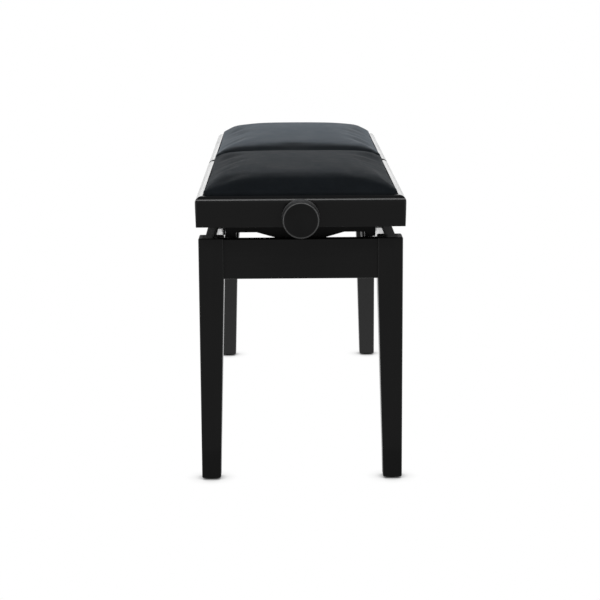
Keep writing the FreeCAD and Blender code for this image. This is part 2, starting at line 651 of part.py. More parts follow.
def mitre_wedge(points):
    """A tall wedge that leaves one rail of the frame between its two mitres."""
    low = [V(x, y, FRAME_BOTTOM - OVERSHOOT) for x, y in points]
    return prism(low, V(0, 0, FRAME_TOP - FRAME_BOTTOM + 2 * OVERSHOOT))


def frame_rails():
    """The four mitred rails of the right seat's wooden frame."""
    outline = rounded_rectangle(SEAT_INNER_X, SEAT_OUTER_X, -SEAT_HALF_WIDTH, SEAT_HALF_WIDTH,
                                FRAME_CORNER_RADIUS, FRAME_BOTTOM - OVERSHOOT)
    column = Part.Face(outline).extrude(V(0, 0, FRAME_TOP - FRAME_BOTTOM + 2 * OVERSHOOT))
    x0, x1, y1 = SEAT_INNER_X, SEAT_OUTER_X, SEAT_HALF_WIDTH
    middle_x0 = x0 + y1
    middle_x1 = x1 - y1
    across = V(0, SEAT_WIDTH, 0)
    along = V(SEAT_LENGTH, 0, 0)
    outer = frame_bar(lambda inset, z: V(x1 - inset, -y1, z), across)
    inner = frame_bar(lambda inset, z: V(x0 + inset, -y1, z), across)
    back = frame_bar(lambda inset, z: V(x0, y1 - inset, z), along)
    wedge_outer = mitre_wedge([(x1, y1), (middle_x1, 0), (x1, -y1)])
    wedge_inner = mitre_wedge([(x0, y1), (middle_x0, 0), (x0, -y1)])
    wedge_back = mitre_wedge([(x0, y1), (middle_x0, 0), (middle_x1, 0), (x1, y1)])
    outer = outer.common(wedge_outer).common(column)
    outer = outer.cut(rod_x(0, SPINDLE_Z, FRAME_HOLE_RADIUS, -OVERSHOOT, FRAME_THICKNESS + OVERSHOOT))
    inner = inner.common(wedge_inner).common(column)
    back = back.common(wedge_back).common(column)
    for hole in side_screw_rods(SCREW_RADIUS + SCREW_PLAY):
        back = back.cut(hole)
    return {"frame_outer_rail": outer, "frame_inner_rail": inner,
            "frame_back_rail": back, "frame_front_rail": mirrored_y(back)}


def seat_board():
    """The board that carries the upholstery, in the rebate of the frame."""
    board = block(SEAT_MIDDLE_X - BOARD_HALF_LENGTH, SEAT_MIDDLE_X + BOARD_HALF_LENGTH,
                  -BOARD_HALF_WIDTH, BOARD_HALF_WIDTH, REBATE_BOTTOM, BOARD_TOP)
    for hole in board_screw_rods(SCREW_RADIUS + SCREW_PLAY):
        board = board.cut(hole)
    return board


def cushion():
    """The cushion as one closed solid: straight in the rebate, then broadly rounded over the frame."""

    def section(inset, z):
        radius = CUSHION_CORNER_RADIUS + CUSHION_CORNER_GROWTH * inset
        return rounded_rectangle(SEAT_MIDDLE_X - CUSHION_HALF_LENGTH + inset,
                                 SEAT_MIDDLE_X + CUSHION_HALF_LENGTH - inset,
                                 -CUSHION_HALF_WIDTH + inset, CUSHION_HALF_WIDTH - inset, radius, z)

    widest = FRAME_TOP + CUSHION_BULGE_HEIGHT
    sections = [section(0, BOARD_TOP), section(0, FRAME_TOP), section(-CUSHION_BULGE, widest)]
    for degrees in (18.0, 36.0, 54.0, 72.0, 90.0):
        angle = math.radians(degrees)
        inset = CUSHION_ROUNDING * (1 - math.cos(angle)) - CUSHION_BULGE
        sections.append(section(inset, widest + (CUSHION_TOP - widest) * math.sin(angle)))
    return Part.makeLoft(sections, True, True)


def upper_rail():
    """The back upper rail: web, top flange and a lip that is screwed to the wooden frame."""
    ends = (x_at(UPPER_RAIL_END_U), x_at(BEARING_PLATE_U + BEARING_PLATE_THICKNESS))
    frame_inside = SEAT_HALF_WIDTH - FRAME_THICKNESS
    flange_bottom = REBATE_BOTTOM - RAIL_THICKNESS
    web = block(*ends, RAIL_INNER_Y, RAIL_OUTER_Y, UPPER_RAIL_BOTTOM, REBATE_BOTTOM)
    flange = block(*ends, RAIL_INNER_Y, frame_inside, flange_bottom, REBATE_BOTTOM)
    lip = block(*ends, frame_inside - RAIL_THICKNESS, frame_inside, UPPER_LIP_BOTTOM, REBATE_BOTTOM)
    rail = web.fuse([flange, lip]).removeSplitter()
    through = (RAIL_INNER_Y - OVERSHOOT, RAIL_OUTER_Y + OVERSHOOT)
    rail = rail.cut(rod_y(PIVOT_U, SPINDLE_Z, PIVOT_RADIUS, *through))
    rail = rail.cut(slot_y(SPINDLE_Z, *through))
    for hole in side_screw_rods(SCREW_RADIUS + SCREW_PLAY) + board_screw_rods(SCREW_RADIUS + SCREW_PLAY):
        rail = rail.cut(hole)
    return rail


def upper_rivet():
    """The rivet that the back stay arm pivots on, fixed in the upper rail."""
    shank = rod_y(PIVOT_U, SPINDLE_Z, PIVOT_RADIUS, STAY_ARM_Y - ARM_GAP / 2, RAIL_OUTER_Y)
    inner_head = rod_y(PIVOT_U, SPINDLE_Z, HEAD_RADIUS, STAY_ARM_Y - ARM_GAP / 2 - HEAD_THICKNESS,
                       STAY_ARM_Y - ARM_GAP / 2)
    outer_head = rod_y(PIVOT_U, SPINDLE_Z, HEAD_RADIUS, RAIL_OUTER_Y, RAIL_OUTER_Y + HEAD_THICKNESS)
    return shank.fuse([inner_head, outer_head]).removeSplitter()


def bearing_plate():
    """The upright plate that carries the spindle, with its trapezoid lower edge."""
    half = [
        (PLATE_EAR_OUTER_Y, REBATE_BOTTOM),
        (PLATE_EAR_OUTER_Y, PLATE_EAR_BOTTOM),
        (PLATE_EAR_INNER_Y, PLATE_EAR_BOTTOM),
        (PLATE_EAR_INNER_Y, PLATE_EDGE_Z),
        (PLATE_SLOPE_START_Y, PLATE_EDGE_Z),
        (PLATE_TIP_HALF_WIDTH, PLATE_TIP_Z),
    ]
    back_u = BEARING_PLATE_U + BEARING_PLATE_THICKNESS
    outline = [V(x_at(back_u), y, z) for y, z in half] + [V(x_at(back_u), -y, z) for y, z in reversed(half)]
    plate = prism(outline, V(BEARING_PLATE_THICKNESS, 0, 0))
    hole = rod_x(0, SPINDLE_Z, SPINDLE_RADIUS + SPINDLE_PLAY, BEARING_PLATE_U - OVERSHOOT, back_u + OVERSHOOT)
    return plate.cut(hole)


def side_screw_rods(radius):
    """Rods on the axes of the screws from the back upper rail's lip into the wooden frame."""
    start = SEAT_HALF_WIDTH - FRAME_THICKNESS - RAIL_THICKNESS
    z = (UPPER_LIP_BOTTOM + REBATE_BOTTOM) / 2
    return [rod_y(u, z, radius, start, start + SCREW_LENGTH) for u in RAIL_SCREWS_U]


def board_screw_rods(radius):
    """Rods on the axes of the screws from the upper rails' flanges into the seat board."""
    y = (RAIL_OUTER_Y + SEAT_HALF_WIDTH - FRAME_THICKNESS) / 2
    start = REBATE_BOTTOM - RAIL_THICKNESS
    rods = []
    for u in RAIL_SCREWS_U:
        for side in (1, -1):
            rods.append(Part.makeCylinder(radius, BOARD_SCREW_LENGTH, V(x_at(u), side * y, start)))
    return rods


def seat_screws():
    """All the screws that hold the right seat's steel rails."""
    screws = []
    lip_face = SEAT_HALF_WIDTH - FRAME_THICKNESS - RAIL_THICKNESS
    z = (UPPER_LIP_BOTTOM + REBATE_BOTTOM) / 2
    for u, shank in zip(RAIL_SCREWS_U, side_screw_rods(SCREW_RADIUS)):
        head = rod_y(u, z, SCREW_HEAD_RADIUS, lip_face - SCREW_HEAD_HEIGHT, lip_face)
        screws += front_and_back(shank.fuse(head).removeSplitter())
    y = (RAIL_OUTER_Y + SEAT_HALF_WIDTH - FRAME_THICKNESS) / 2
    flange_face = REBATE_BOTTOM - RAIL_THICKNESS
    positions = [(u, side * y) for u in RAIL_SCREWS_U for side in (1, -1)]
    for (u, at_y), shank in zip(positions, board_screw_rods(SCREW_RADIUS)):
        head = Part.makeCylinder(SCREW_HEAD_RADIUS, SCREW_HEAD_HEIGHT,
                                 V(x_at(u), at_y, flange_face - SCREW_HEAD_HEIGHT))
        screws.append(shank.fuse(head).removeSplitter())
    return screws


# ---------------------------------------------------------------- assembly


def end_parts():
    """Every sub-part that the right end has and the left end mirrors."""
    parts = {
        "end_apron": end_apron(),
        "lower_rail_back": lower_rail(),
        "lower_rail_front": mirrored_y(lower_rail()),
        "lower_pivot_shaft": lower_pivot_shaft(),
        "lift_arm_back": lift_arm(),
        "lift_arm_front": mirrored_y(lift_arm()),
        "centre_rivets": front_and_back(centre_rivet()),
        "stay_arm_back": stay_arm(),
        "stay_arm_front": mirrored_y(stay_arm()),
        "slide_shaft": slide_shaft(),
        "nut_bar": nut_bar(),
        "spindle": spindle(),
        "knob": knob(),
        "upper_rail_back": upper_rail(),
        "upper_rail_front": mirrored_y(upper_rail()),
        "upper_rivets": front_and_back(upper_rivet()),
        "bearing_plate": bearing_plate(),
        "seat_screws": seat_screws(),
        "seat_board": seat_board(),
        "cushion": cushion(),
    }
    parts.update(frame_rails())
    return parts


def base_parts():
    """The sub-parts of the base that aren't mirrored pairs of one end."""
    back_leg = leg()
    back_apron = long_apron()
    brackets = rail_brackets()
    screws = bracket_screws()
    return {
        "right_leg_back": back_leg,
        "right_leg_front": mirrored_y(back_leg),
        "left_leg_back": mirrored_x(back_leg),
        "left_leg_front": mirrored_x(mirrored_y(back_leg)),
        "long_apron_back": back_apron,
        "long_apron_front": mirrored_y(back_apron),
        "centre_rail": centre_rail(),
        "corner_blocks": four_corners([corner_block()]),
        "leg_bolts": four_corners(hanger_bolt()),
        "glides": four_corners([glide()]),
        "rail_brackets": four_corners(brackets),
        "bracket_screws": four_corners(screws),
    }


def all_parts():
    parts = base_parts()
    for name, shape in end_parts().items():
        solids = shape if isinstance(shape, list) else [shape]
        parts["right_" + name] = solids
        parts["left_" + name] = [mirrored_x(s) for s in solids]
    return parts


def main():
    os.makedirs("parts", exist_ok=True)
    parts = all_parts()
    for name, shape in sorted(parts.items()):
        solids = shape if isinstance(shape, list) else [shape]
        whole = solids[0] if len(solids) == 1 else Part.makeCompound(solids)
        if not whole.isValid():
            raise ValueError(name + " isn't a valid shape")
        whole.exportStep(os.path.join("parts", name + ".step"))
    print(len(parts), "sub-parts")


main()
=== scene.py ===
import math

import bmesh
import bpy
from mathutils import Matrix, Vector, noise


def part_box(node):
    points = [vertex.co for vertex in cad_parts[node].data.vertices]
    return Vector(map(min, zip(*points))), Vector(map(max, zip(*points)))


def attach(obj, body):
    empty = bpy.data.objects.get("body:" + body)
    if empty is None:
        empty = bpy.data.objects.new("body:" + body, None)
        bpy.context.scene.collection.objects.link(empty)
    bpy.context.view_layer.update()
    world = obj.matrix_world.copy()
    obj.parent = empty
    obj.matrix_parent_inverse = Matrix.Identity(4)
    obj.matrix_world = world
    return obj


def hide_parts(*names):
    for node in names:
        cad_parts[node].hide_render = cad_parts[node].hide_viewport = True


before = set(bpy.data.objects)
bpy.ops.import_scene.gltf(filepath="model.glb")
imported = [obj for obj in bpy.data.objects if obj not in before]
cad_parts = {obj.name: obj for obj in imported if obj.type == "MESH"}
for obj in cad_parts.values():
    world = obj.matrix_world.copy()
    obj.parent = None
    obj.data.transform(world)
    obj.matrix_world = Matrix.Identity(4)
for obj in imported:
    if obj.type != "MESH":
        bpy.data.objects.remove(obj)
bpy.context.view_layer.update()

MM = 0.001

# ---------------------------------------------------------------- camera

CAMERA_PLACE = Vector((3.2031, -0.0234, 0.8409))
CAMERA_YAW = math.radians(0.4543)
CAMERA_PITCH = math.radians(11.184)
CAMERA_ROLL = math.radians(-0.3396)
CAMERA_LENS = 104.0


def make_camera():
    data = bpy.data.cameras.new("camera")
    data.lens = CAMERA_LENS
    data.sensor_width = 36.0
    data.clip_start = 0.05
    data.clip_end = 200.0
    camera = bpy.data.objects.new("camera", data)
    bpy.context.scene.collection.objects.link(camera)
    forward = Vector((-math.cos(CAMERA_YAW) * math.cos(CAMERA_PITCH),
                      math.sin(CAMERA_YAW) * math.cos(CAMERA_PITCH),
                      -math.sin(CAMERA_PITCH)))
    right = forward.cross(Vector((0, 0, 1))).normalized()
    up = right.cross(forward)
    c, s = math.cos(CAMERA_ROLL), math.sin(CAMERA_ROLL)
    right, up = c * right + s * up, c * up - s * right
    turn = Matrix((right, up, -forward)).transposed().to_4x4()
    camera.matrix_world = Matrix.Translation(CAMERA_PLACE) @ turn
    bpy.context.scene.camera = camera


# ---------------------------------------------------------------- light, backdrop and floor

FLOOR_RADIUS = 1.15
FLOOR_CENTRE_X = -0.5         # towards the far end, so that only the far legs mirror the pale floor
FLOOR_BOUNCE = 0.62           # what the floor lights and mirrors, as a share of how bright it looks
FLOOR_BOUNCE_NEAR = 0.15      # the same beside the near legs
BOUNCE_FADE = (0.78, 0.98)    # where it changes from one to the other, along X from the disc's centre
SHADOW_REACH = 0.035          # how far a contact shadow spreads
OVERHEAD = (0.085, 0.092, 0.10, 1)


def make_world():
    """Soft light from low down all round, except from the camera's side. Overhead it is dim."""
    world = bpy.data.worlds.new("studio")
    bpy.context.scene.world = world
    world.use_nodes = True
    tree = world.node_tree
    tree.nodes.clear()
    n = Nodes(tree)
    direction = n.add("ShaderNodeTexCoord").outputs["Generated"]
    split = n.add("ShaderNodeSeparateXYZ", Vector=direction)
    sideways = n.ramp(n.map(split.outputs["X"], -1, 1, 0, 1),
                      ((0.0, grey(1.0)), (0.50, grey(0.62)), (0.70, grey(0.28)), (1.0, grey(0.20))))
    upwards = n.ramp(split.outputs["Z"], ((0.30, grey(0.0)), (0.64, grey(1.0))))
    colour = n.mix(upwards, sideways, OVERHEAD)
    light = n.add("ShaderNodeBackground", Color=colour, Strength=1.0)
    plain = n.add("ShaderNodeBackground", Color=grey(1.0), Strength=1.0)
    seen = n.add("ShaderNodeLightPath").outputs["Is Camera Ray"]
    both = n.add("ShaderNodeMixShader")
    tree.links.new(seen, both.inputs[0])
    tree.links.new(light.outputs[0], both.inputs[1])
    tree.links.new(plain.outputs[0], both.inputs[2])
    out = n.add("ShaderNodeOutputWorld")
    tree.links.new(both.outputs[0], out.inputs["Surface"])


# name, place, the point it shines at, size and power
LAMPS = (
    ("rear_softbox", (-1.35, 0.0, 0.80), (0.0, 0.0, 0.50), (2.4, 0.5), 1.8),
    ("high_strip", (1.7, 0.0, 1.9), (0.5, 0.0, 0.45), (2.6, 0.5), 15.0),
    ("ridge_softbox", (-1.6, 0.0, 1.9), (0.3, 0.0, 0.50), (2.0, 0.5), 3.0),
    ("front_strip", (0.9, -1.9, 1.0), (0.2, 0.0, 0.3), (0.6, 1.4), 1.4),
    ("back_strip", (0.9, 1.9, 1.0), (0.2, 0.0, 0.3), (0.6, 1.4), 1.4),
)


def area_light(name, place, target, size, power):
    """A rectangular lamp that the camera doesn't see."""
    data = bpy.data.lights.new(name, "AREA")
    data.shape = "RECTANGLE"
    data.size, data.size_y = size
    data.energy = power
    lamp = bpy.data.objects.new(name, data)
    lamp.location = place
    lamp.rotation_euler = (Vector(target) - Vector(place)).to_track_quat("-Z", "Y").to_euler()
    lamp.visible_camera = False
    bpy.context.scene.collection.objects.link(lamp)


def make_floor():
    """A pale disc with soft contact shadows. It lights and mirrors less than it shows."""
    mesh = bpy.data.meshes.new("floor")
    b = bmesh.new()
    bmesh.ops.create_circle(b, cap_ends=True, radius=FLOOR_RADIUS, segments=96)
    b.to_mesh(mesh)
    b.free()
    floor = bpy.data.objects.new("floor", mesh)
    floor.location.x = FLOOR_CENTRE_X
    bpy.context.scene.collection.objects.link(floor)
    material, n, shader = new_material("floor_pale")
    near = n.add("ShaderNodeAmbientOcclusion", Distance=SHADOW_REACH)
    near.samples = 16
    tone = n.ramp(near.outputs["AO"], ((0.08, grey(0.02)), (0.40, grey(0.34)),
                                       (0.74, grey(0.88)), (0.94, grey(1.0))))
    seen = n.add("ShaderNodeLightPath").outputs["Is Camera Ray"]
    place = n.add("ShaderNodeSeparateXYZ", Vector=n.add("ShaderNodeTexCoord").outputs["Object"])
    bounce = n.map(place.outputs["X"], *BOUNCE_FADE, FLOOR_BOUNCE, FLOOR_BOUNCE_NEAR)
    others = n.math("MULTIPLY", n.math("SUBTRACT", 1.0, seen), bounce)
    glow = n.add("ShaderNodeEmission", Color=tone, Strength=n.math("ADD", seen, others))
    out = n.tree.nodes["Material Output"]
    n.tree.links.new(glow.outputs[0], out.inputs["Surface"])
    n.tree.nodes.remove(shader)
    mesh.materials.append(material)


# ---------------------------------------------------------------- node helpers


def grey(value):
    return (value, value, value, 1.0)


class Nodes:
    """Adds shader nodes to a tree. A value that is a socket is linked, and any other is set."""

    def __init__(self, tree):
        self.tree = tree

    def put(self, socket, value):
        if isinstance(value, bpy.types.NodeSocket):
            self.tree.links.new(value, socket)
        else:
            socket.default_value = value

    def add(self, kind, **inputs):
        made = self.tree.nodes.new(kind)
        for name, value in inputs.items():
            self.put(made.inputs[name.replace("_", " ")], value)
        return made

    def map(self, value, low, high, to_low, to_high):
        made = self.add("ShaderNodeMapRange", Value=value)
        limits = (("From Min", low), ("From Max", high), ("To Min", to_low), ("To Max", to_high))
        for name, number in limits:
            made.inputs[name].default_value = number
        return made.outputs["Result"]

    def ramp(self, value, stops):
        made = self.add("ShaderNodeValToRGB", Fac=value)
        elements = made.color_ramp.elements
        while len(elements) < len(stops):
            elements.new(0.5)
        for element, (position, colour) in zip(elements, stops):
            element.position = position
            element.color = colour
        return made.outputs["Color"]

    def mix(self, factor, first, second):
        made = self.tree.nodes.new("ShaderNodeMix")
        made.data_type = "RGBA"
        self.put(made.inputs["Factor"], factor)
        self.put(made.inputs[6], first)
        self.put(made.inputs[7], second)
        return made.outputs[2]

    def math(self, operation, first, second):
        made = self.tree.nodes.new("ShaderNodeMath")
        made.operation = operation
        self.put(made.inputs[0], first)
        self.put(made.inputs[1], second)
        return made.outputs[0]

    def coordinates(self, scale=(1, 1, 1)):
        place = self.add("ShaderNodeTexCoord").outputs["Object"]
        return self.add("ShaderNodeMapping", Vector=place, Scale=scale).outputs["Vector"]

    def noise(self, vector, scale, detail=4.0, roughness=0.55, distortion=0.0):
        made = self.add("ShaderNodeTexNoise", Vector=vector, Scale=scale, Detail=detail,
                        Roughness=roughness, Distortion=distortion)
        return made.outputs["Fac"]

    def bump(self, height, strength, distance, normal=None):
        made = self.add("ShaderNodeBump", Height=height, Strength=strength, Distance=distance)
        if normal is not None:
            self.put(made.inputs["Normal"], normal)
        return made.outputs["Normal"]

    def edges(self, radius):
        """1 on the edges of a piece and 0 on its faces."""
        rounded = self.add("ShaderNodeBevel", Radius=radius)
        rounded.samples = 6
        plain = self.add("ShaderNodeNewGeometry").outputs["Normal"]
        dot = self.tree.nodes.new("ShaderNodeVectorMath")
        dot.operation = "DOT_PRODUCT"
        self.put(dot.inputs[0], rounded.outputs["Normal"])
        self.put(dot.inputs[1], plain)
        return self.map(dot.outputs["Value"], 0.999, 0.86, 0.0, 1.0)


def new_material(name):
    material = bpy.data.materials.new(name)
    material.use_nodes = True
    tree = material.node_tree
    return material, Nodes(tree), tree.nodes["Principled BSDF"]


# ---------------------------------------------------------------- materials

GRAIN_STRETCH = 0.05


def grain_scale(axis):
    """Stretches a texture along the axis that the wood's grain follows."""
    return tuple(GRAIN_STRETCH if name == axis else 1.0 for name in "xyz")


LACQUER_SPECULAR = 0.20
LACQUER_COAT = 0.85


def lacquer(axis, matt_top=False):
    """Black satin lacquer over wood with its grain along an axis. Top faces may be left unpolished."""
    material, n, shader = new_material("black_lacquer_grain_" + axis + ("_matt_top" if matt_top else ""))
    along = n.coordinates(grain_scale(axis))
    even = n.coordinates()
    pores = n.noise(along, 900.0, 6.0, 0.62, 0.4)
    figure = n.noise(along, 120.0, 4.0, 0.5, 1.2)
    cloud = n.noise(even, 9.0, 3.0, 0.5)
    dust = n.noise(even, 2600.0, 2.0, 0.5)
    black = n.mix(n.map(figure, 0.3, 0.7, 0.0, 1.0),
                  (0.0060, 0.0060, 0.0060, 1), (0.0076, 0.0075, 0.0073, 1))
    rubbed = n.map(n.noise(even, 55.0, 5.0, 0.6), 0.42, 0.66, 0.15, 1.0)
    wear_and_highlight = n.math("MULTIPLY", n.edges(0.0011), rubbed)
    colour = n.mix(n.math("MULTIPLY", wear_and_highlight, 0.5), black, (0.040, 0.037, 0.034, 1))
    n.put(shader.inputs["Base Color"], colour)
    polish = n.math("ADD", n.map(cloud, 0.3, 0.7, 0.30, 0.38), n.map(dust, 0.35, 0.75, 0.0, 0.05))
    worn = n.math("ADD", polish, n.math("MULTIPLY", wear_and_highlight, 0.16))
    n.put(shader.inputs["Normal"], n.bump(pores, 0.05, 0.0002))
    shader.inputs["IOR"].default_value = 1.45
    if matt_top:
        facing = n.add("ShaderNodeSeparateXYZ", Vector=n.add("ShaderNodeNewGeometry").outputs["Normal"])
        polished = n.map(facing.outputs["Z"], 0.80, 0.97, 1.0, 0.0)
        n.put(shader.inputs["Roughness"], n.math("ADD", worn, n.map(polished, 0.0, 1.0, 0.5, 0.0)))
        n.put(shader.inputs["Specular IOR Level"], n.map(polished, 0.0, 1.0, 0.08, LACQUER_SPECULAR))
        n.put(shader.inputs["Coat Weight"], n.map(polished, 0.0, 1.0, 0.08, LACQUER_COAT))
    else:
        n.put(shader.inputs["Roughness"], worn)
        shader.inputs["Specular IOR Level"].default_value = LACQUER_SPECULAR
        shader.inputs["Coat Weight"].default_value = LACQUER_COAT
    shader.inputs["Coat IOR"].default_value = 1.48
    n.put(shader.inputs["Coat Roughness"], n.map(cloud, 0.3, 0.7, 0.09, 0.14))
    n.put(shader.inputs["Coat Normal"], n.bump(n.noise(even, 160.0, 2.0, 0.4), 0.015, 0.0004))
    return material


# seat, seed of its creases, then its vinyl: sheen, specular level and extra roughness. The left seat's
# stronger sheen and specular are painted light: the same vinyl made to look more lit than the right seat.
SEATS = (
    ("right", 3.0, 0.03, 0.05, 0.09),
    ("left", 11.0, 0.17, 0.16, 0.01),
)


def vinyl(side, sheen, specular, rougher):
    """Black upholstery vinyl with a fine pebble grain and a soft sheen. The left seat has a stronger
    painted sheen and specular, so that it looks more lit.
    """
    material, n, shader = new_material("black_vinyl_grained_" + side)
    even = n.coordinates()
    warp = n.add("ShaderNodeTexNoise", Vector=even, Scale=240.0, Detail=2.0).outputs["Color"]
    bent = n.tree.nodes.new("ShaderNodeMix")
    bent.data_type = "VECTOR"
    n.put(bent.inputs["Factor"], 0.0011)
    n.put(bent.inputs[4], even)
    n.put(bent.inputs[5], warp)
    cells = n.add("ShaderNodeTexVoronoi", Vector=bent.outputs[1], Scale=820.0)
    cells.feature = "DISTANCE_TO_EDGE"
    pebble = n.map(cells.outputs["Distance"], 0.0, 0.22, 0.0, 1.0)
    cloud = n.noise(even, 14.0, 4.0, 0.55)
    rub = n.noise(even, 60.0, 4.0, 0.6)
    colour = n.mix(n.map(cloud, 0.3, 0.7, 0.0, 1.0),
                   (0.0130, 0.0160, 0.0190, 1), (0.0210, 0.0255, 0.0300, 1))
    # Painted shade: the grooves between the grain's pebbles are darker.
    colour_with_groove_shade = n.mix(n.map(pebble, 0.0, 1.0, 0.35, 0.0), colour, (0.003, 0.003, 0.0034, 1))
    n.put(shader.inputs["Base Color"], colour_with_groove_shade)
    rough = n.math("ADD", n.map(cloud, 0.3, 0.7, 0.47 + rougher, 0.55 + rougher),
                   n.map(rub, 0.3, 0.7, -0.03, 0.03))
    n.put(shader.inputs["Roughness"], n.math("ADD", rough, n.map(pebble, 0.0, 1.0, 0.10, 0.0)))
    grain = n.bump(pebble, 0.16, 0.00022)
    n.put(shader.inputs["Normal"], n.bump(n.noise(even, 90.0, 3.0, 0.5), 0.05, 0.0010, grain))
    shader.inputs["IOR"].default_value = 1.46
    shader.inputs["Specular IOR Level"].default_value = specular
    shader.inputs["Sheen Weight"].default_value = sheen
    shader.inputs["Sheen Roughness"].default_value = 0.35
    shader.inputs["Sheen Tint"].default_value = (0.45, 0.72, 1.0, 1)
    return material


def powder_coat():
    """Black powder coat on steel, with orange peel and edges rubbed to bare metal."""
    material, n, shader = new_material("black_powder_coat")
    even = n.coordinates()
    peel = n.noise(even, 650.0, 3.0, 0.5)
    cloud = n.noise(even, 20.0, 3.0, 0.5)
    scuff = n.map(n.noise(even, 90.0, 6.0, 0.65), 0.50, 0.70, 0.0, 1.0)
    wear_and_highlight = n.math("MULTIPLY", n.edges(0.0006), scuff)
    coat = n.mix(n.map(cloud, 0.3, 0.7, 0.0, 1.0), (0.010, 0.010, 0.0105, 1), (0.017, 0.017, 0.0175, 1))
    n.put(shader.inputs["Base Color"], n.mix(wear_and_highlight, coat, (0.32, 0.31, 0.30, 1)))
    n.put(shader.inputs["Metallic"], n.math("MULTIPLY", wear_and_highlight, 0.9))
    n.put(shader.inputs["Roughness"], n.map(cloud, 0.3, 0.7, 0.40, 0.52))
    n.put(shader.inputs["Normal"], n.bump(peel, 0.25, 0.0003))
    return material


def zinc():
    """Bright zinc plating over turned steel."""
    material, n, shader = new_material("zinc_plated_steel")
    even = n.coordinates()
    rings = n.noise(n.coordinates((0.15, 6.0, 0.15)), 500.0, 3.0, 0.6)
    bloom = n.noise(even, 160.0, 5.0, 0.6)
    colour = n.mix(n.map(bloom, 0.35, 0.7, 0.0, 1.0), (0.60, 0.60, 0.58, 1), (0.43, 0.44, 0.46, 1))
    n.put(shader.inputs["Base Color"], colour)
    shader.inputs["Metallic"].default_value = 1.0
    n.put(shader.inputs["Roughness"], n.map(bloom, 0.3, 0.7, 0.26, 0.42))
    n.put(shader.inputs["Normal"], n.bump(rings, 0.12, 0.0002))
    return material


def black_oxide():
    """Oiled black oxide on turned steel pins, with rings from the lathe."""
    material, n, shader = new_material("black_oxide_steel")
    even = n.coordinates()
    rings = n.noise(n.coordinates((6.0, 0.15, 6.0)), 500.0, 3.0, 0.6)
    bloom = n.noise(even, 160.0, 5.0, 0.6)
    colour = n.mix(n.map(bloom, 0.35, 0.7, 0.0, 1.0), (0.030, 0.030, 0.032, 1), (0.055, 0.053, 0.050, 1))
    n.put(shader.inputs["Base Color"], colour)
    shader.inputs["Metallic"].default_value = 1.0
    n.put(shader.inputs["Roughness"], n.map(bloom, 0.3, 0.7, 0.34, 0.50))
    n.put(shader.inputs["Normal"], n.bump(rings, 0.12, 0.0002))
    return material


KNOB_RIM_RADIUS = 27.4 * MM    # middle of the painted highlight ring round the knob's face
KNOB_BACK_RIM = 29.6 * MM      # a painted highlight also covers the knob beyond this radius, at its back edge
RIM_HIGHLIGHT_CORE = 0.4 * MM          # half the width of the ring where the painted highlight is full
RIM_HIGHLIGHT_FADE = 1.2 * MM            # half the width at which the painted highlight has faded out


def knob_plastic(axis_y, axis_z):
    """Black moulded plastic with a fine spark-eroded texture, with a painted light grey highlight on its
    edges and round its two rims.
    """
    material, n, shader = new_material("black_knob_plastic")
    even = n.coordinates()
    texture = n.noise(even, 1500.0, 3.0, 0.55)
    cloud = n.noise(even, 35.0, 3.0, 0.5)
    # Painted highlight on the knob's rounded edges, taken from the edge mask.
    wear_and_highlight = n.math("MULTIPLY", n.edges(0.0016), n.map(cloud, 0.4, 0.65, 0.5, 1.0))
    black = n.mix(n.map(cloud, 0.3, 0.7, 0.0, 1.0),
                  (0.0048, 0.0050, 0.0050, 1), (0.0080, 0.0082, 0.0082, 1))
    place = n.add("ShaderNodeSeparateXYZ", Vector=n.coordinates())
    off_y = n.math("SUBTRACT", place.outputs["Y"], axis_y)
    off_z = n.math("SUBTRACT", place.outputs["Z"], axis_z)
    square = n.math("ADD", n.math("MULTIPLY", off_y, off_y), n.math("MULTIPLY", off_z, off_z))
    out = n.math("POWER", square, 0.5)
    # Painted highlight rings, light grey in the base colour: round the rim of the face and beyond the
    # back rim.
    from_rim = n.math("ABSOLUTE", n.math("SUBTRACT", out, KNOB_RIM_RADIUS), 0.0)
    front_rim_highlight = n.map(from_rim, RIM_HIGHLIGHT_CORE, RIM_HIGHLIGHT_FADE, 1.0, 0.0)
    back_rim_highlight = n.map(out, KNOB_BACK_RIM - 0.5 * MM, KNOB_BACK_RIM, 0.0, 1.0)
    painted_rim_highlights = n.math("MULTIPLY", n.math("MAXIMUM", front_rim_highlight, back_rim_highlight), n.map(cloud, 0.3, 0.7, 0.75, 1.0))
    wear_and_highlight = n.math("MAXIMUM", n.math("MULTIPLY", wear_and_highlight, 0.8), painted_rim_highlights)
    n.put(shader.inputs["Base Color"], n.mix(wear_and_highlight, black, (0.16, 0.16, 0.16, 1)))
    n.put(shader.inputs["Roughness"], n.map(cloud, 0.3, 0.7, 0.30, 0.38))
    n.put(shader.inputs["Normal"], n.bump(texture, 0.12, 0.0002))
    shader.inputs["Specular IOR Level"].default_value = 0.45
    return material


def stained_wood(axis):
    """Birch stained nearly black, for the seat boards and the corner blocks."""
    material, n, shader = new_material("stained_birch_grain_" + axis)
    along = n.coordinates(grain_scale(axis))
    even = n.coordinates()
    figure = n.noise(along, 70.0, 5.0, 0.55, 1.6)
    pores = n.noise(along, 700.0, 4.0, 0.6)
    base = n.ramp(figure, ((0.25, (0.014, 0.011, 0.009, 1)), (0.5, (0.022, 0.018, 0.014, 1)),
                           (0.72, (0.034, 0.027, 0.021, 1))))
    colour = n.mix(n.map(pores, 0.52, 0.68, 0.0, 0.45), base, (0.008, 0.006, 0.005, 1))
    n.put(shader.inputs["Base Color"], colour)
    n.put(shader.inputs["Roughness"], n.map(n.noise(even, 25.0, 3.0), 0.3, 0.7, 0.55, 0.72))
    n.put(shader.inputs["Normal"], n.bump(pores, 0.2, 0.0003))
    return material


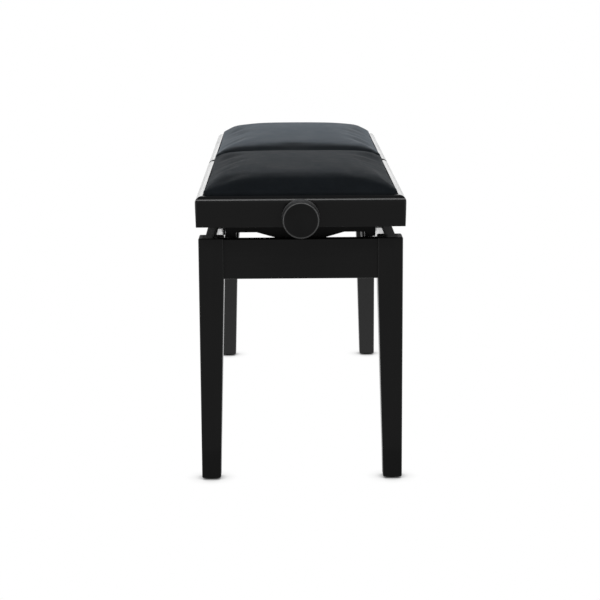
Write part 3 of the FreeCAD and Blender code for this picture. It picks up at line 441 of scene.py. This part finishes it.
def glide_plastic():
    """Dark grey nylon, scuffed where it meets the floor."""
    material, n, shader = new_material("glide_nylon")
    even = n.coordinates()
    scuff = n.noise(even, 420.0, 5.0, 0.65)
    n.put(shader.inputs["Base Color"], n.mix(n.map(scuff, 0.45, 0.7, 0.0, 1.0),
                                             (0.020, 0.020, 0.020, 1), (0.055, 0.054, 0.052, 1)))
    n.put(shader.inputs["Roughness"], n.map(scuff, 0.3, 0.7, 0.42, 0.62))
    n.put(shader.inputs["Normal"], n.bump(scuff, 0.15, 0.0002))
    return material


def material_plan():
    """Which material each CAD node gets, by the words in its name. The first match counts."""
    lacquer_x, lacquer_y = lacquer("x"), lacquer("y")
    base_x, base_y, base_z = (lacquer(axis, matt_top=True) for axis in "xyz")
    steel, plated, oxide = powder_coat(), zinc(), black_oxide()
    knob_middle = sum((Vector(c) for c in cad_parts["right_knob"].bound_box), Vector()) / 8
    knob_black = knob_plastic(knob_middle.y, knob_middle.z)
    return (
        ("leg_bolts", plated), ("_leg_", base_z), ("long_apron", base_x), ("end_apron", base_y),
        ("centre_rail", base_y), ("corner_blocks", stained_wood("y")),
        ("frame_outer_rail", lacquer_y), ("frame_inner_rail", lacquer_y),
        ("frame_back_rail", lacquer_x), ("frame_front_rail", lacquer_x),
        ("seat_board", stained_wood("x")), ("glides", glide_plastic()), ("knob", knob_black),
        ("screws", plated), ("rivets", oxide), ("shaft", oxide), ("spindle", plated),
        ("rail", steel), ("arm", steel), ("bar", steel), ("plate", steel), ("bracket", steel),
    )


def paint_cad_nodes():
    plan = material_plan()
    for name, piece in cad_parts.items():
        if "cushion" in name:
            continue
        material = next(m for words, m in plan if words in name)
        piece.data.materials.clear()
        piece.data.materials.append(material)
        for face in piece.data.polygons:
            face.material_index = 0


# ---------------------------------------------------------------- cushions

VOXEL = 5 * MM
PUFF_FRAMES = 20
PUFF_CAP = 4 * MM
PUFF_EVENING = 10            # rounds of averaging with the neighbours, to take out the sharp wrinkles
TOP_START_DROP = 4 * MM      # the pad starts this much lower, because the pressure lifts it
CROWN = 3 * MM               # extra height in the middle
INNER_DROP = 4.5 * MM        # each pad is lower at its end beside the other pad
INNER_DROP_START = -0.3      # where that fall begins, from -1 at the far end to 1 beside the other pad
OUTER_CORNER_DROP = 9 * MM    # and it falls away to the corners at its other end
LOW_BULGE = 3.0 * MM         # how far the lower part of its sides stands out over the frame
LOW_BULGE_HEIGHT = 6 * MM    # how high above the frame that bulge is widest
LOW_BULGE_SPREAD = 5 * MM
SIDES_FREE = 8 * MM          # this far above the frame, the sides have their full shape
CORNER_FILL = 0.8 * MM       # the pad's corners are pushed out by this, before they are relaxed
RELAX_STEPS = 6
SIDE_HOLLOW = 1.2 * MM       # how far the sides draw in between the corners
REBATE_DEPTH = 3.5 * MM      # the pad is held in the frame up to this height above its underside
NECK = 0.6 * MM              # in the rebate the pad is narrower than its widest line by this, each side


def mesh_of(piece):
    """The piece's mesh with its modifiers applied, as a new mesh."""
    graph = bpy.context.evaluated_depsgraph_get()
    return bpy.data.meshes.new_from_object(piece.evaluated_get(graph), depsgraph=graph)


def settle(piece):
    """Replaces the piece's mesh with the result of its modifiers."""
    piece.data = mesh_of(piece)
    piece.modifiers.clear()


def smooth_step(value, low, high):
    t = min(1.0, max(0.0, (value - low) / (high - low)))
    return t * t * (3 - 2 * t)


class Pad:
    """A cushion in the making: its mesh piece and the box of its CAD solid."""

    def __init__(self, name, node):
        self.low, self.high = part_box(node)
        self.middle = (self.low + self.high) / 2
        self.half = (self.high - self.low) / 2
        self.frame_top = self.low.z + REBATE_DEPTH
        self.piece = bpy.data.objects.new(name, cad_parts[node].data.copy())
        bpy.context.scene.collection.objects.link(self.piece)
        remesh = self.piece.modifiers.new("remesh", "REMESH")
        remesh.mode = "VOXEL"
        remesh.voxel_size = VOXEL
        settle(self.piece)

    def vertices(self):
        return self.piece.data.vertices

    def spot(self, co):
        """Where a point is on the pad: -1 to 1 along X and along Y, and 0 to 1 upwards."""
        return ((co.x - self.middle.x) / self.half.x, (co.y - self.middle.y) / self.half.y,
                (co.z - self.low.z) / (self.high.z - self.low.z))

    def shape(self):
        """Crowns the pad and draws its sides in between the corners."""
        for v in self.vertices():
            along, across, rise = self.spot(v.co)
            bulge = (1 - min(1, along**2)) * (1 - min(1, across**2))
            inwards = -along * math.copysign(1, self.middle.x)
            drop = INNER_DROP * smooth_step(inwards, INNER_DROP_START, 1.0)
            drop += OUTER_CORNER_DROP * max(0.0, -inwards) ** 4 * abs(across) ** 2.5
            v.co.z += rise * (CROWN * bulge - TOP_START_DROP - drop)
            above = smooth_step(v.co.z, self.frame_top, self.frame_top + SIDES_FREE)
            v.co.y -= above * SIDE_HOLLOW * (1 - min(1, along**2)) * across * across**4
            v.co.x -= above * SIDE_HOLLOW * (1 - min(1, across**2)) * along * along**4
            v.co.y += above * CORNER_FILL * across**5 * along**4
            low_side = math.exp(-((v.co.z - self.frame_top - LOW_BULGE_HEIGHT) / LOW_BULGE_SPREAD) ** 2)
            v.co.y += above * low_side * LOW_BULGE * across**5
            v.co.x += above * low_side * LOW_BULGE * along**5

    def puff(self):
        """Blows the cover up a little from inside, held where it sits in the frame."""
        piece = self.piece
        rest = [v.co.copy() for v in self.vertices()]
        held = piece.vertex_groups.new(name="held")
        grip = self.frame_top + 1 * MM
        held.add([v.index for v in self.vertices() if v.co.z < grip], 1.0, "REPLACE")
        cloth = piece.modifiers.new("cover", "CLOTH")
        cover = cloth.settings
        cover.quality = 6
        cover.mass = 0.3
        cover.tension_stiffness = 25.0
        cover.compression_stiffness = 18.0
        cover.shear_stiffness = 8.0
        cover.bending_stiffness = 1.2
        cover.shrink_min = -0.012
        cover.use_pressure = True
        cover.uniform_pressure_force = 4.0
        cover.effector_weights.gravity = 0.0
        cover.vertex_group_mass = "held"
        cloth.point_cache.frame_start = 1
        cloth.point_cache.frame_end = PUFF_FRAMES
        scene = bpy.context.scene
        for number in range(1, PUFF_FRAMES + 1):
            scene.frame_set(number)
        settle(piece)
        scene.frame_set(1)
        steps = [v.co - start for v, start in zip(self.vertices(), rest)]
        steps = [step * min(1.0, PUFF_CAP / max(step.length, 1e-9)) for step in steps]
        links = [[] for _ in rest]
        for first, second in (edge.vertices for edge in piece.data.edges):
            links[first].append(second)
            links[second].append(first)
        for _ in range(PUFF_EVENING):
            steps = [(step + sum((steps[i] for i in near), Vector()) / len(near)) / 2
                     for step, near in zip(steps, links)]
        for v, start, step in zip(self.vertices(), rest, steps):
            v.co = start + step

    def corner_pleats(self):
        """The folds where the cover is drawn in round each corner."""
        inset = 30 * MM
        fold_width = 0.085
        # how far each fold is turned from the corner's diagonal, and its depth
        folds = ((-0.42, 0.5 * MM), (0.05, 0.8 * MM), (0.47, 0.4 * MM))
        corners = [Vector((x, y)) for x in (self.low.x + inset, self.high.x - inset)
                   for y in (self.low.y + inset, self.high.y - inset)]
        for v in self.vertices():
            centre = min(corners, key=lambda c: (c - v.co.xy).length)
            outward = v.co.xy - centre
            away = Vector((math.copysign(1, centre.x - self.middle.x), math.copysign(1, centre.y)))
            if outward.dot(away) <= 0 or outward.length < 4 * MM or v.co.z < self.frame_top:
                continue
            turn = outward.angle_signed(away)
            fade = 1.0 - smooth_step(v.co.z, self.frame_top + 3 * MM, self.frame_top + 24 * MM)
            sink = sum(depth * math.exp(-((turn - place) / fold_width) ** 2) for place, depth in folds)
            v.co.xy -= outward.normalized() * (sink * fade)

    def soft_creases(self, seed):
        """Shallow waves in the cover, mostly along the shoulders, where it is stretched over the foam."""
        for v in self.vertices():
            along, across, rise = self.spot(v.co)
            shoulder = max(math.exp(-((abs(across) - 0.72) / 0.18) ** 2),
                           math.exp(-((abs(along) - 0.74) / 0.12) ** 2))
            wide = noise.noise(Vector((v.co.x * 24.0, v.co.y * 9.0, seed))) * 0.45 * MM
            fine = noise.noise(Vector((v.co.x * 80.0, v.co.y * 30.0, seed + 7.0))) * 0.10 * MM
            v.co.z += (wide + fine) * (0.25 + 0.75 * shoulder) * smooth_step(rise, 0.3, 0.8)

    def seat(self):
        """Keeps the lower edge of the pad inside the frame's rebate and on the board."""
        for v in self.vertices():
            v.co.z = max(v.co.z, self.low.z)
            if v.co.z < self.frame_top + 0.8 * MM:
                for axis in (0, 1):
                    limit = self.half[axis] - NECK
                    offset = v.co[axis] - self.middle[axis]
                    v.co[axis] = self.middle[axis] + max(-limit, min(limit, offset))


def make_cushion(side, seed):
    pad = Pad(side + "_seat_cushion", side + "_cushion")
    pad.shape()
    pad.puff()
    pad.corner_pleats()
    pad.soft_creases(seed)
    piece = pad.piece
    relax = piece.modifiers.new("relax", "SMOOTH")
    relax.factor = 0.5
    relax.iterations = RELAX_STEPS
    divide = piece.modifiers.new("divide", "SUBSURF")
    divide.levels = 1
    divide.render_levels = 1
    settle(piece)
    pad.seat()
    for face in piece.data.polygons:
        face.use_smooth = True
    return piece


def make_cushions():
    for side, seed, sheen, specular, rougher in SEATS:
        piece = make_cushion(side, seed)
        piece.data.materials.clear()
        piece.data.materials.append(vinyl(side, sheen, specular, rougher))
        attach(piece, side + "_seat")
        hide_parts(side + "_cushion")


# ---------------------------------------------------------------- the whole scene

make_camera()
make_world()
make_floor()
for lamp in LAMPS:
    area_light(*lamp)
bpy.context.scene.view_settings.view_transform = "Standard"
paint_cad_nodes()
make_cushions()
